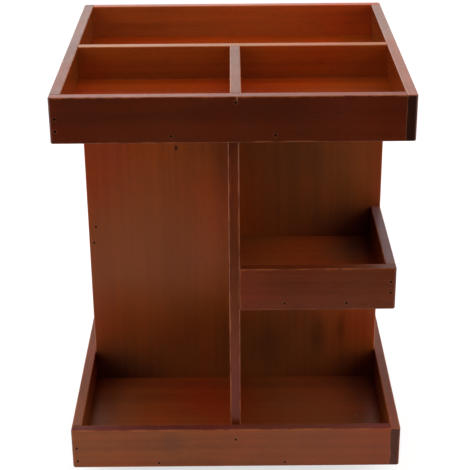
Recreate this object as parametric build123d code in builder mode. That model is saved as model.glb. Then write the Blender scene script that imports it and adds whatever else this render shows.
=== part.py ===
from build123d import *
import os

# A two-sided wooden desk organizer that turns on a ball-bearing turntable.
# Sizes are in millimetres. +Z is up and -Y is the front. The origin is on the
# floor, under the middle of the turntable.

os.makedirs("parts", exist_ok=True)

# Boards
tray_side = 290.0               # outer side of the square lower and top trays
organizer_height = 345.0        # underside of the lower tray to the rim of the top tray
board_thickness = 9.0
board_height = 38.5             # height of every tray board and shelf board
floor_thickness = 8.5
panel_thickness = 9.0
divider_thickness = 9.0
partition_thickness = 9.0
partition_offset = 2.0          # the short partition stands this far right of the middle
shelf_rise = 152.0              # underside of the lower tray to the underside of a shelf
arris_radius = 1.0              # rounding of the long edges
corner_radius = 2.5             # rounding of the upright outer corners

# Brads, driven below the surface of the wood
brad_length = 20.0
brad_diameter = 1.3
brad_head_diameter = 2.0
brad_head_thickness = 0.8
brad_tip = 2.0                  # length of the point
brad_set = 1.0                  # depth of the head below the surface
brad_clearance = 0.05

# Heights of the brads above the underside of their board
lower_corner_brads = (6.8, 20.3)
top_corner_brads = (10.6, 20.7)
shelf_corner_brads = (15.5, 25.8)
shelf_end_brads = (12.0, 27.0)
partition_brads = (33.4,)
divider_foot_brads = (28.3,)
panel_end_brads = (16.0, 28.3)
top_floor_brad_rise = 1.6       # above the middle of the floor's edge
shelf_floor_brad_rise = 2.0

# Places of the brads along their board, from its middle
lower_floor_brads = (-68.2, 43.3)
top_floor_brads = (-49.2, 33.3)
shelf_floor_brads = (42.2, 94.4)
shelf_side_brads = ((0.0, 3.6), (-2.5, 19.9))   # sideways from the board's middle, height
shelf_to_divider_brads = (-100.0, -40.0)
panel_to_divider_brads = (60.0, 180.0, 290.0)   # above the underside of the lower tray
floor_to_panel_brads = (-90.0, 90.0)
floor_to_divider_brad = 80.0    # from the middle of the floor

# Turntable
plate_side = 102.0
plate_thickness = 1.2
plate_corner_radius = 8.0
plate_bore = 30.0
screw_inset = 6.5               # middle of a screw to the edges of its plate
race_radius = 38.0              # to the middle of the balls
race_width = 7.0
race_gap = 1.2                  # between the lower and the upper raceway
flange_thickness = 0.8
flange_width = 1.2
lip_thickness = 0.8
wall_thickness = 1.3
race_clearance = 0.3            # between the flange and the lip that holds it down
ball_diameter = 4.0
ball_count = 18
ball_clearance = 0.2
cage_thickness = 0.6
cage_width = 6.0

# Base
base_diameter = 200.0
base_thickness = 9.0
base_edge_radius = 1.5
foot_diameter = 20.0
foot_height = 6.0
foot_inset = 18.0               # middle of a foot to the rim of the base
foot_recess_diameter = 10.0
foot_recess_depth = 3.0
foot_edge_radius = 1.2
access_hole_diameter = 10.0     # a screwdriver reaches the upper screws through it

# Screws
screw_length = 7.5
screw_diameter = 3.5
screw_tip = 2.0
screw_head_diameter = 6.5
screw_head_height = 1.8
screw_head_radius = 0.9         # rounding of the head's edge
screw_clearance = 0.15
recess_length = 3.4
recess_width = 0.8
recess_depth = 0.9

# Levels
base_top = foot_height + base_thickness
raceway_height = flange_thickness + lip_thickness + 2 * race_clearance
ball_level = base_top + plate_thickness + raceway_height + race_gap / 2
upper_plate_level = ball_level + race_gap / 2 + raceway_height
lower_level = upper_plate_level + plate_thickness
floor_top = lower_level + floor_thickness
shelf_level = lower_level + shelf_rise
top_level = lower_level + organizer_height - board_height

# Distances from the middle, and between the screws of a plate
half_side = tray_side / 2
inner = half_side - board_thickness             # inner face of the tray boards
shelf_inner = inner - board_thickness           # inner face of the shelf boards
panel_face = panel_thickness / 2
divider_face = divider_thickness / 2
screw_spacing = plate_side - 2 * screw_inset

FRONT, RIGHT, BACK, LEFT = range(4)
BOARD_NAMES = ("front", "right", "back", "left")


def save(piece, name):
    """Label a finished piece and write it."""
    piece.part.label = name
    export_step(piece.part, f"parts/{name}.step")


def slab(site, left, right, near, far, height):
    """A board between two x and two y values of its site, standing on it."""
    with BuildSketch(site) as outline:
        with Locations(((left + right) / 2, (near + far) / 2)):
            Rectangle(right - left, far - near)
    extrude(outline.sketch, amount=height)


def ease_long_edges(board, along, outward):
    """Round both top edges and the outer bottom edge of a board."""
    long_edges = board.edges().filter_by(along)
    bottom = long_edges.group_by(Axis.Z)[0].sort_by(outward)[-1:]
    fillet(long_edges.group_by(Axis.Z)[-1] + bottom, arris_radius)


def ease_end_board(board, along, outward):
    """Round a board whose far end butts against its neighbour and whose near end shows."""
    upright = board.edges().filter_by(Axis.Z).group_by(outward)[-1]
    fillet(upright.sort_by(along)[0], corner_radius)
    levels = board.edges().group_by(Axis.Z)
    top = levels[-1].sort_by(along)[:-1]
    bottom = levels[0].sort_by(along)[:-1].sort_by(outward)[1:]
    fillet(top + bottom, arris_radius)


def drill(places):
    """Bores for brads, at places whose Z axis points out of the wood."""
    with Locations(*places):
        CounterBoreHole(
            radius=brad_diameter / 2 + brad_clearance,
            counter_bore_radius=brad_head_diameter / 2 + brad_clearance,
            counter_bore_depth=brad_set + brad_head_thickness,
            depth=brad_set + brad_length + brad_clearance,
        )


def pilot_holes(places):
    """Bores for the threads of screws, at places whose Z axis points to the head."""
    with Locations(*places):
        Hole(screw_diameter / 2 + brad_clearance, depth=screw_length + screw_clearance)


def group_of(name, fastener, places):
    """One node of separate, equal fasteners."""
    with BuildPart() as group:
        with Locations(*places):
            add(fastener.part)
    save(group, name)


def quarter_turn(quarter):
    """Turn from the front of the organizer to another of its sides."""
    return Rot(0, 0, 90 * quarter)


def on_side(quarter, distance, level, x, height):
    """A place on the upright plane at a distance from the middle, facing outwards."""
    face = Plane(origin=(0, -distance, level), x_dir=(1, 0, 0), z_dir=(0, -1, 0))
    return quarter_turn(quarter) * face.location * Pos(x, height)


def facing_down(x, y, level):
    """A place on a level plane, seen from below."""
    return Plane(origin=(x, y, level), z_dir=(0, 0, -1)).location


# Brad and screw, with the surface they are driven from at z = 0
with BuildPart() as brad:
    with BuildSketch(Plane.XZ):
        with BuildLine():
            Polyline(
                (0, -brad_set),
                (brad_head_diameter / 2, -brad_set),
                (brad_head_diameter / 2, -brad_set - brad_head_thickness),
                (brad_diameter / 2, -brad_set - brad_head_thickness),
                (brad_diameter / 2, -brad_set - brad_length + brad_tip),
                (0, -brad_set - brad_length),
                close=True,
            )
        make_face()
    revolve(axis=Axis.Z)

with BuildPart() as screw:
    with BuildSketch(Plane.XZ):
        with BuildLine():
            Polyline(
                (0, screw_head_height),
                (screw_head_diameter / 2, screw_head_height),
                (screw_head_diameter / 2, 0),
                (screw_diameter / 2, 0),
                (screw_diameter / 2, screw_tip - screw_length),
                (0, -screw_length),
                close=True,
            )
        make_face()
    revolve(axis=Axis.Z)
    fillet(screw.edges().group_by(Axis.Z)[-1], screw_head_radius)
    with BuildSketch(Plane.XY.offset(screw_head_height)):
        Rectangle(recess_length, recess_width)
        Rectangle(recess_width, recess_length)
    extrude(amount=-recess_depth, mode=Mode.SUBTRACT)

# Places of the brads that hold the inner boards
panel_ends = [
    on_side(quarter, half_side, lower_level, 0, height)
    for quarter in (RIGHT, LEFT)
    for height in panel_end_brads
]
divider_feet = [
    [on_side(quarter, half_side, lower_level, 0, height) for height in divider_foot_brads]
    for quarter in (FRONT, BACK)
]
short_partition_end = [
    on_side(FRONT, half_side, top_level, partition_offset, height) for height in partition_brads
]
long_partition_ends = [
    on_side(quarter, half_side, top_level, 0, height)
    for quarter in (RIGHT, LEFT)
    for height in partition_brads
]
panel_to_divider = [
    on_side(BACK, panel_face, lower_level, 0, height) for height in panel_to_divider_brads
]
floor_points = [(x, 0) for x in floor_to_panel_brads]
floor_points += [(0, -floor_to_divider_brad), (0, floor_to_divider_brad)]
through_lower_floor = [facing_down(x, y, lower_level) for x, y in floor_points]
through_top_floor = [Pos(x, y, top_level + floor_thickness) for x, y in floor_points]
plate_corners = [
    (x * screw_spacing / 2, y * screw_spacing / 2) for x in (-1, 1) for y in (-1, 1)
]
upper_screw_places = [facing_down(x, y, upper_plate_level) for x, y in plate_corners]
lower_screw_places = [Pos(x, y, base_top + plate_thickness) for x, y in plate_corners]


def tray(name, level, corner_brads, floor_brads, floor_rise, inner_places):
    """Four boards round a floor, each covering the end of the board to its left."""
    corners = [
        [on_side(quarter, half_side, level, board_thickness / 2 - half_side, height)
         for height in corner_brads]
        for quarter in range(4)
    ]
    edges = [
        [on_side(quarter, half_side, level, x, floor_thickness / 2 + floor_rise)
         for x in floor_brads]
        for quarter in range(4)
    ]
    for quarter, side_name in enumerate(BOARD_NAMES):
        site = Plane.XY.offset(level).rotated((0, 0, 90 * quarter))
        with BuildPart() as board:
            slab(site, -half_side, inner, -half_side, -inner, board_height)
            ease_end_board(board, Axis(site.origin, site.x_dir), Axis(site.origin, -site.y_dir))
            drill(corners[quarter] + corners[(quarter + 1) % 4] + edges[quarter] + inner_places)
        save(board, f"{name}_{side_name}_board")
    edge_places = sum(edges, [])
    group_of(f"{name}_tray_brads", brad, sum(corners, []) + edge_places + inner_places)
    return edge_places


# Lower tray
lower_edges = tray(
    "lower", lower_level, lower_corner_brads, lower_floor_brads, 0.0,
    panel_ends + divider_feet[0] + divider_feet[1],
)
with BuildPart() as lower_floor:
    slab(Plane.XY.offset(lower_level), -inner, inner, -inner, inner, floor_thickness)
    drill(lower_edges + through_lower_floor)
    pilot_holes(upper_screw_places)
save(lower_floor, "lower_floor")
group_of("lower_floor_brads", brad, through_lower_floor)

# Top tray
top_edges = tray(
    "top", top_level, top_corner_brads, top_floor_brads, top_floor_brad_rise,
    short_partition_end + long_partition_ends,
)
with BuildPart() as top_floor:
    slab(Plane.XY.offset(top_level), -inner, inner, -inner, inner, floor_thickness)
    drill(top_edges + through_top_floor)
save(top_floor, "top_floor")
group_of("top_floor_brads", brad, through_top_floor)

partition_site = Plane.XY.offset(top_level + floor_thickness)
partition_height = board_height - floor_thickness
partition_face = partition_thickness / 2
with BuildPart() as top_long_partition:
    slab(partition_site, -inner, inner, -partition_face, partition_face, partition_height)
    fillet(top_long_partition.edges().filter_by(Axis.X).group_by(Axis.Z)[-1], arris_radius)
    drill(long_partition_ends)
save(top_long_partition, "top_long_partition")

with BuildPart() as top_short_partition:
    slab(
        partition_site, partition_offset - partition_face, partition_offset + partition_face,
        -inner, -partition_face, partition_height,
    )
    fillet(top_short_partition.edges().filter_by(Axis.Y).group_by(Axis.Z)[-1], arris_radius)
    drill(short_partition_end)
save(top_short_partition, "top_short_partition")


def shelf_places(turn, distance, points):
    """Places on an upright plane of a shelf, turned with it about the middle."""
    return [on_side(turn, distance, shelf_level, x, height) for x, height in points]


def on_divider(turn, y, height):
    """A place on the open face of a divider, facing away from its shelf."""
    face = Plane(origin=(-divider_face, y, shelf_level), x_dir=(0, -1, 0), z_dir=(-1, 0, 0))
    return quarter_turn(turn) * face.location * Pos(0, height)


def shelf(name, turn):
    """A shelf with a board in front and one at its side, between divider and panel."""
    middle_of_board = inner - board_thickness / 2
    floor_middle = floor_thickness / 2
    site = Plane.XY.offset(shelf_level).rotated((0, 0, 90 * turn))
    outward = Axis(site.origin, -site.y_dir)
    sideways = Axis(site.origin, site.x_dir)
    corner = shelf_places(turn, inner, [(middle_of_board, height) for height in shelf_corner_brads])
    edge_height = floor_middle + shelf_floor_brad_rise
    edge = shelf_places(turn, inner, [(x, edge_height) for x in shelf_floor_brads])
    front_end = [on_divider(turn, -middle_of_board, height) for height in shelf_end_brads]
    floor_side = [on_divider(turn, y, floor_middle) for y in shelf_to_divider_brads]
    through_panel = shelf_places(
        turn + BACK, panel_face, [(-middle_of_board - drift, height) for drift, height in shelf_side_brads]
    )
    with BuildPart() as front_board:
        slab(site, divider_face, inner, -inner, -shelf_inner, board_height)
        ease_end_board(front_board, Axis(site.origin, -site.x_dir), outward)
        drill(corner + edge + front_end)
    save(front_board, f"{name}_shelf_front_board")
    with BuildPart() as side_board:
        slab(site, shelf_inner, inner, -shelf_inner, -panel_face, board_height)
        ease_long_edges(side_board, outward, sideways)
        drill(corner + through_panel)
    save(side_board, f"{name}_shelf_side_board")
    with BuildPart() as floor:
        slab(site, divider_face, shelf_inner, -shelf_inner, -panel_face, floor_thickness)
        drill(edge + floor_side)
    save(floor, f"{name}_shelf_floor")
    group_of(f"{name}_shelf_brads", brad, corner + edge + front_end + floor_side + through_panel)
    return front_end + floor_side, through_panel


def divider(name, turn, places):
    """An upright divider from the panel to the inner face of the tray board."""
    site = Plane.XY.offset(floor_top).rotated((0, 0, 90 * turn))
    outward = Axis(site.origin, -site.y_dir)
    with BuildPart() as board:
        slab(site, -divider_face, divider_face, -inner, -panel_face, top_level - floor_top)
        fillet(board.edges().filter_by(Axis.Z).group_by(outward)[-1], arris_radius)
        drill(places)
    save(board, f"{name}_divider")


# Shelves, dividers and the panel between them
front_shelf_ends, front_side_brads = shelf("front", FRONT)
back_shelf_ends, back_side_brads = shelf("back", BACK)
floors = through_lower_floor + through_top_floor
divider("front", FRONT, front_shelf_ends + divider_feet[0] + panel_to_divider + floors)
divider("back", BACK, back_shelf_ends + divider_feet[1] + floors)

with BuildPart() as middle_panel:
    slab(
        Plane.XY.offset(floor_top), -inner, inner, -panel_face, panel_face, top_level - floor_top
    )
    fillet(middle_panel.edges().filter_by(Axis.Z), arris_radius)
    drill(panel_ends + floors + panel_to_divider + front_side_brads + back_side_brads)
save(middle_panel, "middle_panel")
group_of("panel_brads", brad, panel_to_divider)

# Turntable: the upper raceway has a flange that the lip of the lower one holds down
race_inner = race_radius - race_width / 2
race_outer = race_radius + race_width / 2
flange_outer = race_outer + flange_width
wall_inner = flange_outer + race_clearance
wall_outer = wall_inner + wall_thickness
lip_inner = race_outer + race_clearance
lower_raceway_top = ball_level - race_gap / 2
upper_raceway_bottom = ball_level + race_gap / 2
lip_bottom = upper_raceway_bottom + flange_thickness + race_clearance
lip_top = lip_bottom + lip_thickness


def turntable_plate(level):
    """A square plate with a bore and four screw holes."""
    with BuildSketch(Plane.XY.offset(level)) as outline:
        RectangleRounded(plate_side, plate_side, plate_corner_radius)
        Circle(plate_bore / 2, mode=Mode.SUBTRACT)
        with GridLocations(screw_spacing, screw_spacing, 2, 2):
            Circle(screw_diameter / 2 + screw_clearance, mode=Mode.SUBTRACT)
    extrude(outline.sketch, amount=plate_thickness)


def rings(sections):
    """Turned rings, each between two radii and two levels."""
    for near, far, low, high in sections:
        with BuildSketch(Plane.XZ) as section:
            with Locations(((near + far) / 2, (low + high) / 2)):
                Rectangle(far - near, high - low)
        revolve(section.sketch, axis=Axis.Z)


def ball_groove():
    """The groove that the balls run in."""
    with BuildSketch(Plane.XZ) as section:
        with Locations((race_radius, ball_level)):
            Circle(ball_diameter / 2 + ball_clearance)
    revolve(section.sketch, axis=Axis.Z, mode=Mode.SUBTRACT)


with BuildPart() as turntable_lower_plate:
    turntable_plate(base_top)
    rings([
        (race_inner, wall_outer, base_top + plate_thickness, lower_raceway_top),
        (wall_inner, wall_outer, lower_raceway_top, lip_top),
        (lip_inner, wall_inner, lip_bottom, lip_top),
    ])
    ball_groove()
save(turntable_lower_plate, "turntable_lower_plate")

with BuildPart() as turntable_upper_plate:
    turntable_plate(upper_plate_level)
    rings([
        (race_inner, race_outer, upper_raceway_bottom, upper_plate_level),
        (race_outer, flange_outer, upper_raceway_bottom, upper_raceway_bottom + flange_thickness),
    ])
    ball_groove()
save(turntable_upper_plate, "turntable_upper_plate")

with BuildPart() as ball_cage:
    with BuildSketch(Plane.XY.offset(ball_level - cage_thickness / 2)):
        Circle(race_radius + cage_width / 2)
        Circle(race_radius - cage_width / 2, mode=Mode.SUBTRACT)
        with PolarLocations(race_radius, ball_count):
            Circle(ball_diameter / 2 + ball_clearance, mode=Mode.SUBTRACT)
    extrude(amount=cage_thickness)
save(ball_cage, "ball_cage")

with BuildPart(Plane.XY.offset(ball_level)) as turntable_balls:
    with PolarLocations(race_radius, ball_count):
        Sphere(ball_diameter / 2)
save(turntable_balls, "turntable_balls")

group_of("upper_plate_screws", screw, upper_screw_places)
group_of("lower_plate_screws", screw, lower_screw_places)

# Base board on four rubber feet
foot_offset = (base_diameter / 2 - foot_inset) / 2 ** 0.5
foot_screw_places = [
    facing_down(x * foot_offset, y * foot_offset, foot_recess_depth)
    for x in (-1, 1)
    for y in (-1, 1)
]


def four_discs(diameter):
    """A sketch of one disc for each foot, on the floor."""
    with BuildSketch() as discs:
        with GridLocations(2 * foot_offset, 2 * foot_offset, 2, 2):
            Circle(diameter / 2)
    return discs.sketch


with BuildPart() as base_board:
    with BuildSketch(Plane.XY.offset(foot_height)):
        Circle(base_diameter / 2)
    extrude(amount=base_thickness)
    fillet(base_board.edges().filter_by(GeomType.CIRCLE), base_edge_radius)
    pilot_holes(lower_screw_places + foot_screw_places)
    with Locations((screw_spacing / 2 ** 0.5, 0, base_top)):
        Hole(access_hole_diameter / 2)
save(base_board, "base_board")

with BuildPart() as rubber_feet:
    extrude(four_discs(foot_diameter), amount=foot_height)
    fillet(rubber_feet.edges().group_by(Axis.Z)[0], foot_edge_radius)
    extrude(four_discs(foot_recess_diameter), amount=foot_recess_depth, mode=Mode.SUBTRACT)
    with Locations(*foot_screw_places):
        Hole(screw_diameter / 2 + screw_clearance)
save(rubber_feet, "rubber_feet")
group_of("foot_screws", screw, foot_screw_places)
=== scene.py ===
import math

import bmesh
import bpy
from mathutils import Matrix, Vector


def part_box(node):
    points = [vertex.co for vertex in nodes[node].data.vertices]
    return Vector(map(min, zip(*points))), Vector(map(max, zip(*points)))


# The looks of a two-sided desk organizer of stained and lacquered boards on a
# ball-bearing turntable. Sizes are in metres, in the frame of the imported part.

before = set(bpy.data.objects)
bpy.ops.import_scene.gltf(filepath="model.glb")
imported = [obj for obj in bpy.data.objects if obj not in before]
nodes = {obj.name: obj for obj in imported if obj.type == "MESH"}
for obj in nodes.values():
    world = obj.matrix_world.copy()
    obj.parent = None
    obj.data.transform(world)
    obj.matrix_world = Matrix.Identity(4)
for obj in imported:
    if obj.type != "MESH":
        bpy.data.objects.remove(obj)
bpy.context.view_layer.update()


# ---------------------------------------------------------------- shader nodes

def place(tree, kind, settings, values):
    """A new node. Inputs are given by name or number: a socket is linked, anything else is set."""
    node = tree.nodes.new(kind)
    for name, value in settings.items():
        setattr(node, name, value)
    for key, value in values.items():
        if isinstance(value, bpy.types.NodeSocket):
            tree.links.new(value, node.inputs[key])
        else:
            node.inputs[key].default_value = value
    return node


def calc(tree, operation, *values):
    return place(tree, "ShaderNodeMath", {"operation": operation}, dict(enumerate(values))).outputs[0]


def vector_calc(tree, operation, *values):
    node = place(tree, "ShaderNodeVectorMath", {"operation": operation}, dict(enumerate(values)))
    return node.outputs["Value" if operation in ("LENGTH", "DISTANCE", "DOT_PRODUCT") else "Vector"]


def remap(tree, value, low, high, to_low=0.0, to_high=1.0):
    """Turns low to high into to_low to to_high, softly, and holds it there beyond."""
    settings = {"interpolation_type": "SMOOTHSTEP", "clamp": True}
    return place(tree, "ShaderNodeMapRange", settings,
                 {0: value, 1: low, 2: high, 3: to_low, 4: to_high}).outputs[0]


def mix_colours(tree, amount, first, second, way="MIX"):
    settings = {"data_type": "RGBA", "blend_type": way}
    return place(tree, "ShaderNodeMix", settings, {0: amount, 6: first, 7: second}).outputs[2]


def noise(tree, vector, scale=1.0, detail=2.0, roughness=0.5):
    values = {"Vector": vector, "Scale": scale, "Detail": detail, "Roughness": roughness}
    return place(tree, "ShaderNodeTexNoise", {}, values).outputs[0]


def place_on_piece(tree):
    """The point on the piece, in metres, before its body has moved."""
    return tree.nodes.new("ShaderNodeTexCoord").outputs["Object"]


def seeded(tree, point, seed):
    """The point carried off by the seed, so that no two boards share their pattern."""
    away = place(tree, "ShaderNodeCombineXYZ", {},
                 {0: calc(tree, "MULTIPLY", seed, 1.71),
                  1: calc(tree, "MULTIPLY", seed, 0.37),
                  2: calc(tree, "MULTIPLY", seed, 0.53)}).outputs[0]
    return vector_calc(tree, "ADD", point, away)


FLOAT, VECTOR, COLOUR = "NodeSocketFloat", "NodeSocketVector", "NodeSocketColor"


def new_group(name, inputs, outputs):
    """An empty group with its named sockets, and the sockets to build between."""
    group = bpy.data.node_groups.new(name, "ShaderNodeTree")
    for label, kind in inputs.items():
        group.interface.new_socket(label, in_out="INPUT", socket_type=kind)
    for label, kind in outputs.items():
        group.interface.new_socket(label, in_out="OUTPUT", socket_type=kind)
    return group, group.nodes.new("NodeGroupInput").outputs, group.nodes.new("NodeGroupOutput").inputs


# ----------------------------------------------- the groups of wood, lacquer and metal

# How fine each pattern is, per metre along and across the grain
DRIFT_FINENESS = (1.5, 9.0, 9.0)
STREAK_FINENESS = (2.2, 85.0, 85.0)
PORE_FINENESS = (110.0, 2400.0, 2400.0)

# How deeply the stain takes in rings, streaks, open pores and cut ends
RING_DEPTH = 0.24
STREAK_DEPTH = 0.55
PORE_DEPTH = 0.35
END_SOAK = 0.85
BROWNER = (0.86, 1.14, 1.3, 1)
REDDER = (1.16, 0.84, 0.7, 1)

# How much the pores and the cut ends dull the lacquer, and how far the pores dip in it
PORE_DULLING = 0.12
END_DULLING = 0.18
PORE_DIP = -0.15

HOLE_RADIUS = 0.00095

# How far the crystals' shades and the dull patches go, and what patches and scuffs do to the metal
CRYSTAL_SHADE = 0.35
PATCH_SHADE = 0.55
PATCH_DULLING = 0.18
SCUFF_DULLING = 0.12
SCUFF_DIP = -0.5

def make_grain():
    """Growth rings, long streaks and short pores of a board. Turn lays its length along X."""
    group, given, result = new_group(
        "board_grain",
        {"Turn": VECTOR, "Seed": FLOAT, "Heart": VECTOR, "Ring Width": FLOAT, "Waver": FLOAT},
        {"Rings": FLOAT, "Streaks": FLOAT, "Pores": FLOAT},
    )
    turned = place(group, "ShaderNodeVectorRotate", {"rotation_type": "EULER_XYZ"},
                   {"Vector": place_on_piece(group), "Rotation": given["Turn"]}).outputs[0]
    point = seeded(group, turned, given["Seed"])
    drift = noise(group, vector_calc(group, "MULTIPLY", point, DRIFT_FINENESS), detail=1.5)
    from_heart = vector_calc(group, "MULTIPLY", vector_calc(group, "SUBTRACT", turned, given["Heart"]),
                             (0.0, 1.0, 1.0))
    radius = calc(group, "MULTIPLY_ADD", drift, given["Waver"], vector_calc(group, "LENGTH", from_heart))
    ring = calc(group, "FRACT", calc(group, "DIVIDE", radius, given["Ring Width"]))
    late = calc(group, "MULTIPLY", calc(group, "POWER", ring, 2.2), remap(group, ring, 1.0, 0.93))
    group.links.new(late, result["Rings"])
    streaks = noise(group, vector_calc(group, "MULTIPLY", point, STREAK_FINENESS), detail=4.0, roughness=0.62)
    group.links.new(remap(group, streaks, 0.3, 0.7), result["Streaks"])
    pores = noise(group, vector_calc(group, "MULTIPLY", point, PORE_FINENESS), detail=1.0)
    group.links.new(remap(group, pores, 0.58, 0.7), result["Pores"])
    return group


def make_facing():
    """Where a board's cut ends are, from the direction of its length, and where its faces look up."""
    group, given, result = new_group("facing", {"Length": VECTOR}, {"End": FLOAT, "Upward": FLOAT})
    normal = group.nodes.new("ShaderNodeTexCoord").outputs["Normal"]
    along = calc(group, "ABSOLUTE", vector_calc(group, "DOT_PRODUCT", normal, given["Length"]))
    group.links.new(remap(group, along, 0.55, 0.9), result["End"])
    up = place(group, "ShaderNodeSeparateXYZ", {}, {0: normal}).outputs[2]
    group.links.new(remap(group, up, 0.6, 0.95), result["Upward"])
    return group


def make_stain():
    """Red-brown stain: deep in streaks and ring lines, drifting between redder and browner, and with
    its own tone on the cut ends. On the upper faces a tint darkens the stain's own tone, or paints the
    lacquer's pale sheen into the colour where green and blue are raised."""
    group, given, result = new_group(
        "red_stain",
        {"Thin": COLOUR, "Deep": COLOUR, "End Tone": COLOUR, "Upper Tone And Sheen": COLOUR, "Seed": FLOAT,
         "Rings": FLOAT, "Streaks": FLOAT, "Pores": FLOAT, "End": FLOAT, "Upward": FLOAT, "Blotch": FLOAT,
         "Hue Drift": FLOAT},
        {"Color": COLOUR},
    )
    point = seeded(group, place_on_piece(group), given["Seed"])
    clouds = remap(group, noise(group, point, scale=13.0, detail=3.0, roughness=0.45), 0.28, 0.72, -1.0, 1.0)
    depth = calc(group, "MULTIPLY_ADD", given["Rings"], RING_DEPTH,
                 calc(group, "MULTIPLY", given["Streaks"], STREAK_DEPTH))
    depth = calc(group, "MULTIPLY_ADD", clouds, given["Blotch"], depth)
    colour = mix_colours(group, depth, given["Thin"], given["Deep"])
    open_pores = calc(group, "MULTIPLY", given["Pores"], PORE_DEPTH)
    colour = mix_colours(group, open_pores, colour, given["Deep"], way="MULTIPLY")
    elsewhere = vector_calc(group, "ADD", point, (5.3, 2.9, 7.7))
    redness = remap(group, noise(group, elsewhere, scale=9.0, detail=2.0), 0.36, 0.64)
    drift = mix_colours(group, redness, BROWNER, REDDER)
    colour = mix_colours(group, given["Hue Drift"], colour, drift, way="MULTIPLY")
    colour = mix_colours(group, given["Upward"], colour, given["Upper Tone And Sheen"], way="MULTIPLY")
    soaked = calc(group, "MULTIPLY", given["End"], END_SOAK)
    colour = mix_colours(group, soaked, colour, given["End Tone"])
    group.links.new(colour, result["Color"])
    return group


def make_rubbed_edges():
    """Where a box's edges are near, broken up as sanding and handling leave them."""
    group, given, result = new_group(
        "rubbed_edges", {"Low": VECTOR, "High": VECTOR, "Reach": FLOAT, "Seed": FLOAT}, {"Rub": FLOAT})
    point = place_on_piece(group)
    inward = vector_calc(group, "MINIMUM", vector_calc(group, "SUBTRACT", point, given["Low"]),
                         vector_calc(group, "SUBTRACT", given["High"], point))
    x, y, z = place(group, "ShaderNodeSeparateXYZ", {}, {0: inward}).outputs
    second = calc(group, "MAXIMUM", calc(group, "MINIMUM", x, y),
                  calc(group, "MINIMUM", calc(group, "MAXIMUM", x, y), z))
    wander = noise(group, seeded(group, point, given["Seed"]), scale=75.0, detail=3.0, roughness=0.6)
    reach = calc(group, "MULTIPLY", given["Reach"], remap(group, wander, 0.3, 0.75, 0.25, 1.9))
    group.links.new(remap(group, calc(group, "DIVIDE", second, reach), 0.25, 1.0, 1.0, 0.0), result["Rub"])
    return group


def make_lacquer():
    """Satin lacquer: its gloss, hazed in patches, dull in the pores, on cut ends and on worn upper
    faces, and its brushed, fibrous skin."""
    group, given, result = new_group(
        "satin_lacquer",
        {"Gloss": FLOAT, "Haze": FLOAT, "Seed": FLOAT, "Streaks": FLOAT, "Pores": FLOAT, "End": FLOAT,
         "Upward": FLOAT, "Upper Wear": FLOAT},
        {"Roughness": FLOAT, "Height": FLOAT},
    )
    point = seeded(group, place_on_piece(group), given["Seed"])
    patches = remap(group, noise(group, point, scale=38.0, detail=4.0, roughness=0.6), 0.3, 0.72)
    rough = calc(group, "MULTIPLY_ADD", patches, given["Haze"], given["Gloss"])
    rough = calc(group, "MULTIPLY_ADD", given["Pores"], PORE_DULLING, rough)
    rough = calc(group, "MULTIPLY_ADD", given["End"], END_DULLING, rough)
    rough = calc(group, "MULTIPLY_ADD", given["Upward"], given["Upper Wear"], rough)
    group.links.new(rough, result["Roughness"])
    height = calc(group, "MULTIPLY_ADD", given["Pores"], PORE_DIP, given["Streaks"])
    group.links.new(height, result["Height"])
    return group


def make_spot():
    """A mark: 1 at its middle, 0 beyond its radius. Squeeze narrows it along an axis."""
    group, given, result = new_group(
        "spot", {"Middle": VECTOR, "Squeeze": VECTOR, "Radius": FLOAT}, {"Mark": FLOAT})
    off = vector_calc(group, "SUBTRACT", place_on_piece(group), given["Middle"])
    off = vector_calc(group, "MULTIPLY", off, given["Squeeze"])
    away = calc(group, "DIVIDE", vector_calc(group, "LENGTH", off), given["Radius"])
    group.links.new(remap(group, away, 0.2, 1.0, 1.0, 0.0), result["Mark"])
    return group


def make_brad_hole():
    """Round a brad hole: the filled, darkened hole itself and the pale lip that the punch raised."""
    group, given, result = new_group("brad_hole", {"Middle": VECTOR}, {"Hole": FLOAT, "Lip": FLOAT})
    away = vector_calc(group, "DISTANCE", place_on_piece(group), given["Middle"])
    group.links.new(remap(group, away, HOLE_RADIUS, HOLE_RADIUS * 1.35, 1.0, 0.0), result["Hole"])
    rise = remap(group, away, HOLE_RADIUS * 1.1, HOLE_RADIUS * 1.6)
    fall = remap(group, away, HOLE_RADIUS * 1.6, HOLE_RADIUS * 2.3, 1.0, 0.0)
    group.links.new(calc(group, "MULTIPLY", rise, fall), result["Lip"])
    return group


def make_worn_metal():
    """Plated or blackened steel: small crystals, fine rubbing marks and dull patches."""
    group, given, result = new_group(
        "worn_metal",
        {"Bright": COLOUR, "Dull": COLOUR, "Crystal": FLOAT, "Gloss": FLOAT},
        {"Color": COLOUR, "Roughness": FLOAT, "Height": FLOAT},
    )
    point = place_on_piece(group)
    per_crystal = calc(group, "DIVIDE", 1.0, given["Crystal"])
    cells = place(group, "ShaderNodeTexVoronoi", {}, {"Vector": point, "Scale": per_crystal}).outputs["Color"]
    shade = place(group, "ShaderNodeSeparateColor", {}, {0: cells}).outputs[0]
    patches = remap(group, noise(group, point, scale=90.0, detail=5.0, roughness=0.65), 0.35, 0.7)
    scuffs = remap(group, noise(group, vector_calc(group, "MULTIPLY", point, (2500.0, 160.0, 160.0)),
                                detail=2.0), 0.6, 0.72)
    dull = calc(group, "MULTIPLY_ADD", shade, CRYSTAL_SHADE, calc(group, "MULTIPLY", patches, PATCH_SHADE))
    group.links.new(mix_colours(group, dull, given["Bright"], given["Dull"]), result["Color"])
    rough = calc(group, "MULTIPLY_ADD", patches, PATCH_DULLING, given["Gloss"])
    group.links.new(calc(group, "MULTIPLY_ADD", scuffs, SCUFF_DULLING, rough), result["Roughness"])
    group.links.new(calc(group, "MULTIPLY_ADD", scuffs, SCUFF_DIP, patches), result["Height"])
    return group


grain, facing, stain, rubbed_edges = make_grain(), make_facing(), make_stain(), make_rubbed_edges()
lacquer, spot, brad_hole, worn_metal = make_lacquer(), make_spot(), make_brad_hole(), make_worn_metal()


# ------------------------------------------------------------------- materials

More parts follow.
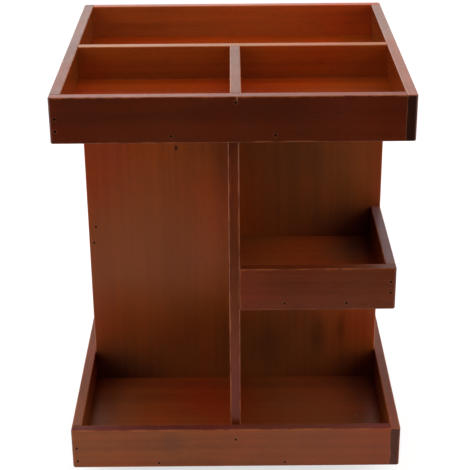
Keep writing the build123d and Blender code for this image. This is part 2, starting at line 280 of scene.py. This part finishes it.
def new_material(name):
    """A material's tree with its Principled BSDF."""
    material = bpy.data.materials.new(name)
    material.use_nodes = True
    tree = material.node_tree
    tree.nodes.clear()
    shader = tree.nodes.new("ShaderNodeBsdfPrincipled")
    out = tree.nodes.new("ShaderNodeOutputMaterial")
    tree.links.new(shader.outputs[0], out.inputs["Surface"])
    return material, tree, shader


def use(tree, group, values):
    return place(tree, "ShaderNodeGroup", {"node_tree": group}, values).outputs


def bump(tree, height, depth, strength):
    values = {"Height": height, "Distance": depth, "Strength": strength}
    return place(tree, "ShaderNodeBump", {}, values).outputs[0]


def finish_with(node, material):
    """The CAD node's own faces take the material."""
    mesh = nodes[node].data
    if not mesh.materials:
        mesh.materials.append(material)
    for slot in nodes[node].material_slots:
        slot.material = material


LENGTH = {"x": (1, 0, 0), "y": (0, 1, 0), "z": (0, 0, 1)}
TURN = {"x": (0, 0, 0), "y": (0, 0, -math.pi / 2), "z": (0, math.pi / 2, 0)}
RUB_COLOUR = (0.36, 0.10, 0.030, 1)
LIP_COLOUR = (0.30, 0.10, 0.045, 1)
DARK_MARK = (0.022, 0.006, 0.003, 1)
# Painted shade for the dark inner corners by the side boards and the shelf, also used for one small smudge on
# the lower front board
CORNER_SHADE_AND_SMUDGE = (0.032, 0.022, 0.020, 1)
OLIVE_STAIN = (0.130, 0.062, 0.026, 1)
BROWN_STAIN = (0.29, 0.078, 0.012, 1)
PALE_MARK = (0.50, 0.30, 0.18, 1)
RED_STAIN = (0.30, 0.014, 0.002, 1)
# Painted light: a pale red-brown that lifts the shadow the lower tray's left board casts on its floor
PAINTED_LIGHT = (0.27, 0.100, 0.035, 1)
BRAD_SET = 0.001        # depth of a brad's head below the surface
LIP_STRENGTH = 0.32
HOLE_STRENGTH = 0.9
SKIN_DEPTH = 0.00012
SKIN_STRENGTH = 0.35
WOOD_IOR = 1.34


def brad_heads():
    """The middle of every brad's hole in the wood's face, read from the brads' own meshes."""
    found = []
    for name, brads in nodes.items():
        if not name.endswith("_brads"):
            continue
        mesh = bmesh.new()
        mesh.from_mesh(brads.data)
        bmesh.ops.remove_doubles(mesh, verts=mesh.verts, dist=1e-6)
        waiting = set(mesh.verts)
        while waiting:
            brad = [waiting.pop()]
            for vertex in brad:
                joined = {edge.other_vert(vertex) for edge in vertex.link_edges} & waiting
                waiting -= joined
                brad.extend(joined)
            found.append(brad_head([vertex.co for vertex in brad]))
        mesh.free()
    return found


def brad_head(points):
    """The flat end of a brad is its head; the hole's mouth lies a little further out."""
    spans = [max(p[i] for p in points) - min(p[i] for p in points) for i in range(3)]
    axis = spans.index(max(spans))
    ends = [(sign, [p for p in points if abs(p[axis] - sign * max(sign * q[axis] for q in points)) < 1e-5])
            for sign in (-1, 1)]
    sign, face = max(ends, key=lambda end: len(end[1]))
    middle = sum((Vector(p) for p in face), Vector()) / len(face)
    middle[axis] += sign * BRAD_SET
    return middle


HEADS = brad_heads()


def heads_in(node):
    """The brad heads whose holes open in this piece."""
    low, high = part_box(node)
    near = 0.0006
    return [head for head in HEADS
            if all(low[i] - near <= head[i] <= high[i] + near for i in range(3))]


def mark(middle, radius, strength, shade, squeeze=(1, 1, 1)):
    """A stain or speck on a board, or a patch of painted shade or painted light. Squeeze narrows it along an
    axis.
    """
    return middle, radius, strength, shade, squeeze


def stained_wood(node, along, tone, seed, blotch=0.22, heart=(0, 0.06, 0.05), ring_width=0.0052, waver=0.02,
                 gloss=0.29, haze=0.07, rub_reach=0.0012, rub=0.5, joined="", hue_drift=0.6,
                 end_tone=(0.030, 0.009, 0.004), upper_tone_and_sheen=(1, 1, 1), upper_wear=0.0, marks=()):
    """A board's own material. Joined names the box sides, such as -x, that meet another board."""
    material, tree, shader = new_material(f"stained_{node}")
    thin, deep = tone
    lines = use(tree, grain, {"Turn": TURN[along], "Seed": seed, "Heart": heart, "Ring Width": ring_width,
                              "Waver": waver})
    faces = use(tree, facing, {"Length": LENGTH[along]})
    colour = use(tree, stain, {"Thin": (*thin, 1), "Deep": (*deep, 1), "End Tone": (*end_tone, 1),
                               "Upper Tone And Sheen": (*upper_tone_and_sheen, 1), "Seed": seed, "Rings": lines["Rings"],
                               "Streaks": lines["Streaks"], "Pores": lines["Pores"], "End": faces["End"],
                               "Upward": faces["Upward"], "Blotch": blotch, "Hue Drift": hue_drift})["Color"]
    # Marks: stains and specks, and in places painted shade and painted light
    for middle, radius, strength, shade, squeeze in marks:
        spot_mask = use(tree, spot, {"Middle": middle, "Radius": radius, "Squeeze": squeeze})
        colour = mix_colours(tree, calc(tree, "MULTIPLY", spot_mask["Mark"], strength), colour, shade)
    low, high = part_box(node)
    hidden = 0.05
    for side in joined.split():
        corner = low if side[0] == "-" else high
        corner["xyz".index(side[1])] += -hidden if side[0] == "-" else hidden
    worn = use(tree, rubbed_edges, {"Low": low, "High": high, "Reach": rub_reach, "Seed": seed})["Rub"]
    colour = mix_colours(tree, calc(tree, "MULTIPLY", worn, rub), colour, RUB_COLOUR)
    for head in heads_in(node):
        hole = use(tree, brad_hole, {"Middle": head})
        colour = mix_colours(tree, calc(tree, "MULTIPLY", hole["Lip"], LIP_STRENGTH), colour, LIP_COLOUR)
        colour = mix_colours(tree, calc(tree, "MULTIPLY", hole["Hole"], HOLE_STRENGTH), colour, DARK_MARK)
    skin = use(tree, lacquer, {"Gloss": gloss, "Haze": haze, "Seed": seed, "Streaks": lines["Streaks"],
                               "Pores": lines["Pores"], "End": faces["End"], "Upward": faces["Upward"],
                               "Upper Wear": upper_wear})
    tree.links.new(colour, shader.inputs["Base Color"])
    tree.links.new(skin["Roughness"], shader.inputs["Roughness"])
    tree.links.new(bump(tree, skin["Height"], SKIN_DEPTH, SKIN_STRENGTH), shader.inputs["Normal"])
    shader.inputs["IOR"].default_value = WOOD_IOR
    finish_with(node, material)


def metal(name, bright, dull, crystal, gloss, depth=0.00002):
    material, tree, shader = new_material(name)
    skin = use(tree, worn_metal, {"Bright": (*bright, 1), "Dull": (*dull, 1), "Crystal": crystal,
                                  "Gloss": gloss})
    tree.links.new(skin["Color"], shader.inputs["Base Color"])
    tree.links.new(skin["Roughness"], shader.inputs["Roughness"])
    tree.links.new(bump(tree, skin["Height"], depth, 0.4), shader.inputs["Normal"])
    shader.inputs["Metallic"].default_value = 1.0
    return material


def foot_rubber():
    """Black rubber, a little grey with bloom, with a fine pebbled skin."""
    material, tree, shader = new_material("foot_rubber")
    point = place_on_piece(tree)
    bloom = remap(tree, noise(tree, point, scale=140.0, detail=4.0), 0.4, 0.75)
    pebbles = noise(tree, point, scale=2600.0, detail=2.0)
    colour = mix_colours(tree, bloom, (0.014, 0.014, 0.015, 1), (0.045, 0.044, 0.042, 1))
    tree.links.new(colour, shader.inputs["Base Color"])
    tree.links.new(remap(tree, bloom, 0.0, 1.0, 0.55, 0.8), shader.inputs["Roughness"])
    tree.links.new(bump(tree, pebbles, 0.00006, 0.5), shader.inputs["Normal"])
    return material


# Stain tones, as thin and deep colours
LOWER_BOARD = ((0.26, 0.052, 0.0065), (0.145, 0.027, 0.004))
TOP_SIDE = ((0.175, 0.030, 0.004), (0.100, 0.017, 0.003))
TOP_BACK = ((0.42, 0.066, 0.009), (0.24, 0.037, 0.006))
DARK_BOARD = ((0.115, 0.0155, 0.002), (0.067, 0.0100, 0.0015))
PARTITION = ((0.37, 0.055, 0.005), (0.22, 0.032, 0.0035))
SHELF = ((0.165, 0.026, 0.004), (0.094, 0.015, 0.0025))
PANEL = ((0.40, 0.074, 0.005), (0.225, 0.040, 0.004))
DIVIDER = ((0.165, 0.0255, 0.0035), (0.092, 0.0135, 0.0025))
TOP_FLOOR = ((0.28, 0.033, 0.0008), (0.170, 0.020, 0.0006))
LOWER_FLOOR = ((0.27, 0.050, 0.009), (0.16, 0.029, 0.006))
SHELF_FLOOR = ((0.32, 0.066, 0.012), (0.19, 0.037, 0.008))
BLACK_END = (0.010, 0.0032, 0.0016)
DRY_END = (0.045, 0.0135, 0.007)

# Faces that carry marks, in y for the upright ones and in z for the floors
BOARD_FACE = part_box("lower_front_board")[0][1]
PANEL_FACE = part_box("middle_panel")[0][1]
LOWER_FLOOR_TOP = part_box("lower_floor")[1][2]
SHELF_FLOOR_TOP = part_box("front_shelf_floor")[1][2]

# Where the heart of the log lay for the tray boards, from the organizer's middle and from the floor
HEART_ACROSS = 0.195
HEART_HEIGHT = 0.30

LOWER_FRONT_MARKS = (
    mark((0.060, BOARD_FACE, 0.045), 0.100, 0.22, OLIVE_STAIN),
    mark((-0.056, BOARD_FACE, 0.048), 0.016, 0.2, CORNER_SHADE_AND_SMUDGE),
)
SPLIT_ABOVE_BRAD = mark((0.0031, BOARD_FACE, 0.3665), 0.0034, 0.5, PALE_MARK, (4.5, 1, 1))

# Upper tints below 1 darken the rims' own tone; those that raise green and blue paint the lacquer's sheen
# onto the rims as a paler colour
TRAY_LOOKS = {
    "lower_front": (LOWER_BOARD, {"upper_tone_and_sheen": (0.46, 0.16, 0.2), "gloss": 0.42, "upper_wear": 0.2,
                                  "marks": LOWER_FRONT_MARKS}),
    "lower_right": (LOWER_BOARD, {"upper_tone_and_sheen": (0.80, 0.6, 0.4), "gloss": 0.42, "end_tone": DRY_END}),
    "lower_back": (LOWER_BOARD, {"upper_tone_and_sheen": (0.46, 0.16, 0.2), "gloss": 0.42, "upper_wear": 0.2}),
    "lower_left": (LOWER_BOARD, {"upper_tone_and_sheen": (0.86, 0.77, 0.4), "gloss": 0.50}),
    "top_front": (DARK_BOARD, {"upper_tone_and_sheen": (1.8, 2.0, 2.2), "hue_drift": 0.35,
                               "marks": (SPLIT_ABOVE_BRAD,)}),
    "top_right": (TOP_SIDE, {"upper_tone_and_sheen": (1.7, 4.2, 20.0), "end_tone": BLACK_END, "rub": 0.3,
                             "gloss": 0.17, "upper_wear": 0.15}),
    "top_back": (TOP_BACK, {}),
    "top_left": (TOP_SIDE, {"gloss": 0.17, "upper_wear": 0.12}),
}
SIDES = {"front": ("x", "+x"), "right": ("y", "+y"), "back": ("x", "-x"), "left": ("y", "-y")}

seed = 1
for level in ("lower", "top"):
    for side, (along, joined) in SIDES.items():
        tone, looks = TRAY_LOOKS[f"{level}_{side}"]
        across = HEART_ACROSS if side in ("front", "right") else -HEART_ACROSS
        stained_wood(f"{level}_{side}_board", along, tone, seed, heart=(0, across, HEART_HEIGHT),
                     joined=joined, **looks)
        seed += 1

# The partitions' upper tints raise green and blue, painting a pale sheen onto their rims
stained_wood("top_long_partition", "x", PARTITION, seed, joined="-x +x", upper_tone_and_sheen=(0.95, 1.7, 2.0))
stained_wood("top_short_partition", "y", PARTITION, seed + 1, joined="-y +y", upper_tone_and_sheen=(0.55, 0.8, 1.5))
seed += 2

FLOOR_MARKS = (
    mark((-0.0225, -0.0434, LOWER_FLOOR_TOP), 0.060, 0.30, RED_STAIN),
    # Painted shade in the back-left corner of the lower tray
    mark((-0.136, PANEL_FACE, LOWER_FLOOR_TOP), 0.060, 0.15, CORNER_SHADE_AND_SMUDGE, (1, 0.75, 1)),
    # Painted light lifting the left board's shadow near the front of the lower floor
    mark((-0.126, -0.085, LOWER_FLOOR_TOP), 0.050, 0.42, PAINTED_LIGHT, (1, 0.55, 1)),
    # Painted shade in the back-right corner of the lower tray
    mark((0.136, PANEL_FACE, LOWER_FLOOR_TOP), 0.055, 0.40, CORNER_SHADE_AND_SMUDGE, (1, 0.75, 1)),
    mark((0.075, -0.060, LOWER_FLOOR_TOP), 0.080, 0.30, OLIVE_STAIN),
    mark((0.1126, -0.0754, LOWER_FLOOR_TOP), 0.0010, 0.8, PALE_MARK),
)
SHELF_MARKS = (
    mark((0.100, -0.040, SHELF_FLOOR_TOP), 0.035, 0.40, OLIVE_STAIN),
    # Painted shade in the shelf's back-right corner
    mark((0.127, PANEL_FACE, SHELF_FLOOR_TOP), 0.045, 0.50, CORNER_SHADE_AND_SMUDGE, (1, 0.6, 1)),
)
FLOORS = {
    "lower_floor": (LOWER_FLOOR, FLOOR_MARKS),
    "top_floor": (TOP_FLOOR, ()),
    "front_shelf_floor": (SHELF_FLOOR, SHELF_MARKS),
    "back_shelf_floor": (SHELF_FLOOR, ()),
}
for name, (tone, marks) in FLOORS.items():
    stained_wood(name, "x", tone, seed, heart=(0, 0.02, 0.16), ring_width=0.0048,
                 joined="-x +x -y +y", marks=marks)
    seed += 1

PANEL_MARKS = (
    mark((-0.125, PANEL_FACE, 0.250), 0.075, 0.35, RED_STAIN),
    mark((-0.120, PANEL_FACE, 0.100), 0.045, 0.25, RED_STAIN),
    mark((0.123, PANEL_FACE, 0.0885), 0.030, 0.35, RED_STAIN),
    mark((0.134, PANEL_FACE, 0.245), 0.040, 0.25, RED_STAIN, (2, 1, 0.6)),
    mark((0.062, PANEL_FACE, 0.235), 0.095, 0.50, OLIVE_STAIN, (1, 1, 0.75)),
    mark((0.055, PANEL_FACE, 0.060), 0.085, 0.48, OLIVE_STAIN, (1, 1, 0.9)),
    mark((-0.060, PANEL_FACE, 0.045), 0.110, 0.40, OLIVE_STAIN, (0.8, 1, 1.1)),
    mark((-0.029, PANEL_FACE, 0.079), 0.050, 0.22, DARK_MARK, (1, 1, 0.8)),
    # Painted shade at the panel's foot, in the corners by the side boards and by the shelf
    mark((-0.136, PANEL_FACE, LOWER_FLOOR_TOP), 0.080, 0.50, CORNER_SHADE_AND_SMUDGE, (1, 1, 1.3)),
    mark((0.127, PANEL_FACE, SHELF_FLOOR_TOP), 0.060, 0.55, CORNER_SHADE_AND_SMUDGE, (0.8, 1, 1.2)),
    mark((0.136, PANEL_FACE, LOWER_FLOOR_TOP), 0.060, 0.50, CORNER_SHADE_AND_SMUDGE, (1, 1, 1.2)),
    mark((0.0808, PANEL_FACE, 0.078), 0.022, 0.35, DARK_MARK, (1.8, 1, 0.8)),
    mark((0.102, PANEL_FACE, 0.083), 0.018, 0.30, DARK_MARK, (2.5, 1, 0.8)),
    mark((0.034, PANEL_FACE, 0.067), 0.030, 0.25, DARK_MARK, (1.2, 1, 1)),
    mark((-0.0522, PANEL_FACE, 0.2727), 0.0026, 0.9, DARK_MARK, (1.3, 1, 0.6)),
    mark((0.0179, PANEL_FACE, 0.1926), 0.0012, 0.7, DARK_MARK),
    mark((-0.080, PANEL_FACE, 0.170), 0.105, 0.60, BROWN_STAIN, (1.2, 1, 0.9)),
)
stained_wood("middle_panel", "z", PANEL, seed, blotch=0.25, heart=(0, 0.09, 0.03), ring_width=0.006,
             hue_drift=0.35, joined="-z +z", marks=PANEL_MARKS)
seed += 1
for side in ("front", "back"):
    stained_wood(f"{side}_divider", "z", DIVIDER, seed, joined="-z +z")
    stained_wood(f"{side}_shelf_front_board", "x", SHELF, seed + 1, upper_tone_and_sheen=(0.72, 0.75, 1))
    # The shelf side board's strong green and blue upper tint paints a pale sheen onto its rim
    stained_wood(f"{side}_shelf_side_board", "y", SHELF, seed + 2, upper_tone_and_sheen=(0.93, 2.5, 15.0))
    seed += 3

stained_wood("base_board", "x", LOWER_BOARD, seed, heart=(0, 0.03, 0.2))

brad_steel = metal("brad_steel", (0.020, 0.010, 0.007), (0.009, 0.005, 0.003), 0.0008, 0.5)
zinc = metal("zinc_plate", (0.72, 0.73, 0.74), (0.50, 0.51, 0.52), 0.0035, 0.30)
screw_zinc = metal("zinc_screw", (0.70, 0.70, 0.70), (0.46, 0.46, 0.45), 0.0012, 0.28)
cage_steel = metal("oiled_cage_steel", (0.45, 0.44, 0.42), (0.26, 0.24, 0.22), 0.002, 0.34)
ball_steel = metal("polished_ball_steel", (0.80, 0.80, 0.80), (0.66, 0.66, 0.67), 0.0010, 0.10, 0.000004)
rubber = foot_rubber()

for name in nodes:
    if name.endswith("_brads"):
        finish_with(name, brad_steel)
    elif name.endswith("_screws"):
        finish_with(name, screw_zinc)
for name in ("turntable_lower_plate", "turntable_upper_plate"):
    finish_with(name, zinc)
finish_with("ball_cage", cage_steel)
finish_with("turntable_balls", ball_steel)
finish_with("rubber_feet", rubber)


# ------------------------------------------------------------ table and daylight

def soft_table():
    """A white sheet that reaches a little in front of the organizer and far behind it."""
    left, right, front, back = -2.6, 2.6, -0.42, 3.2
    mesh = bpy.data.meshes.new("table")
    mesh.from_pydata([(left, front, 0), (right, front, 0), (right, back, 0), (left, back, 0)], [],
                     [(0, 1, 2, 3)])
    table = bpy.data.objects.new("table", mesh)
    bpy.context.scene.collection.objects.link(table)
    material = bpy.data.materials.new("white_table")
    material.use_nodes = True
    tree = material.node_tree
    tree.nodes.clear()
    path = tree.nodes.new("ShaderNodeLightPath").outputs
    seen = calc(tree, "MAXIMUM", path["Is Camera Ray"], path["Is Transmission Ray"])
    colour = mix_colours(tree, seen, (0.84, 0.84, 0.84, 1), (0.42, 0.42, 0.42, 1))
    matt = place(tree, "ShaderNodeBsdfDiffuse", {}, {"Color": colour}).outputs[0]
    glow = place(tree, "ShaderNodeEmission", {},
                 {"Color": (1, 1, 1, 1), "Strength": calc(tree, "MULTIPLY", seen, 0.66)}).outputs[0]
    both = place(tree, "ShaderNodeAddShader", {}, {0: matt, 1: glow}).outputs[0]
    place(tree, "ShaderNodeOutputMaterial", {}, {"Surface": both})
    mesh.materials.append(material)


def white_room():
    """A white room at the sides and behind, dark where the camera stands and below the table's level.

    What the camera sees of it is pure white all round."""
    world = bpy.data.worlds.new("white_room")
    bpy.context.scene.world = world
    world.use_nodes = True
    tree = world.node_tree
    tree.nodes.clear()
    direction = tree.nodes.new("ShaderNodeTexCoord").outputs["Generated"]
    z = place(tree, "ShaderNodeSeparateXYZ", {}, {0: direction}).outputs[2]
    level = vector_calc(tree, "NORMALIZE", vector_calc(tree, "MULTIPLY", direction, (1, 1, 0)))
    backward = place(tree, "ShaderNodeSeparateXYZ", {}, {0: level}).outputs[1]
    above = remap(tree, z, -0.06, 0.02)
    walls = calc(tree, "MULTIPLY", above, remap(tree, backward, -0.85, -0.5))
    walls = calc(tree, "MULTIPLY", walls, remap(tree, z, 0.3, 0.9, 0.85, 1.1))
    behind = calc(tree, "MULTIPLY", remap(tree, backward, 0.75, 0.95), remap(tree, z, 0.75, 0.45))
    sideways = place(tree, "ShaderNodeSeparateXYZ", {}, {0: level}).outputs[0]
    window = calc(tree, "MULTIPLY", behind, remap(tree, sideways, -0.17, 0.20, 1.15, 0.0))
    walls = calc(tree, "MULTIPLY", walls, calc(tree, "ADD", window, 1.0))
    below = calc(tree, "MULTIPLY", calc(tree, "SUBTRACT", 1.0, above), 0.25)
    path = tree.nodes.new("ShaderNodeLightPath").outputs
    spread = remap(tree, path["Is Glossy Ray"], 0.0, 1.0, below, 0.0)
    room = calc(tree, "ADD", walls, spread)
    seen = calc(tree, "MAXIMUM", path["Is Camera Ray"], path["Is Transmission Ray"])
    strength = remap(tree, seen, 0.0, 1.0, room, 1.0)
    back = place(tree, "ShaderNodeBackground", {}, {"Color": (1, 1, 1, 1), "Strength": strength}).outputs[0]
    place(tree, "ShaderNodeOutputWorld", {}, {"Surface": back})


def softbox(name, middle, aim, width, height, power):
    data = bpy.data.lights.new(name, "AREA")
    data.shape = "RECTANGLE"
    data.size, data.size_y = width, height
    data.energy = power
    lamp = bpy.data.objects.new(name, data)
    lamp.location = middle
    lamp.rotation_euler = (Vector(aim) - Vector(middle)).to_track_quat("-Z", "Y").to_euler()
    lamp.visible_camera = False
    bpy.context.scene.collection.objects.link(lamp)


def camera_at(where, heading, tilt, roll, lens):
    """The photo's camera. Heading, tilt and roll are in degrees, the lens in millimetres."""
    data = bpy.data.cameras.new("photo_camera")
    data.sensor_fit, data.sensor_width, data.lens = "HORIZONTAL", 36.0, lens
    camera = bpy.data.objects.new("photo_camera", data)
    turn = (Matrix.Rotation(math.radians(-heading), 4, "Z") @ Matrix.Rotation(math.radians(90 - tilt), 4, "X")
            @ Matrix.Rotation(math.radians(roll), 4, "Z"))
    camera.matrix_world = Matrix.Translation(where) @ turn
    bpy.context.scene.collection.objects.link(camera)
    bpy.context.scene.camera = camera


SIDE_DISTANCE = 1.15
SIDE_POWER = 18.0
TOP_POWER = 2.3

soft_table()
white_room()
for side, sign in (("left", -1), ("right", 1)):
    softbox(f"{side}_softbox", (sign * SIDE_DISTANCE, -0.25, 0.80), (0, -0.25, 0.80), 2.3, 1.6, SIDE_POWER)
softbox("top_softbox", (0, -0.1, 1.15), (0, -0.1, 0), 1.0, 0.8, TOP_POWER)
camera_at(where=(-0.00047, -1.10036, 0.68417), heading=0.07, tilt=24.47, roll=-0.45, lens=98.35)
bpy.context.scene.view_settings.view_transform = "Standard"
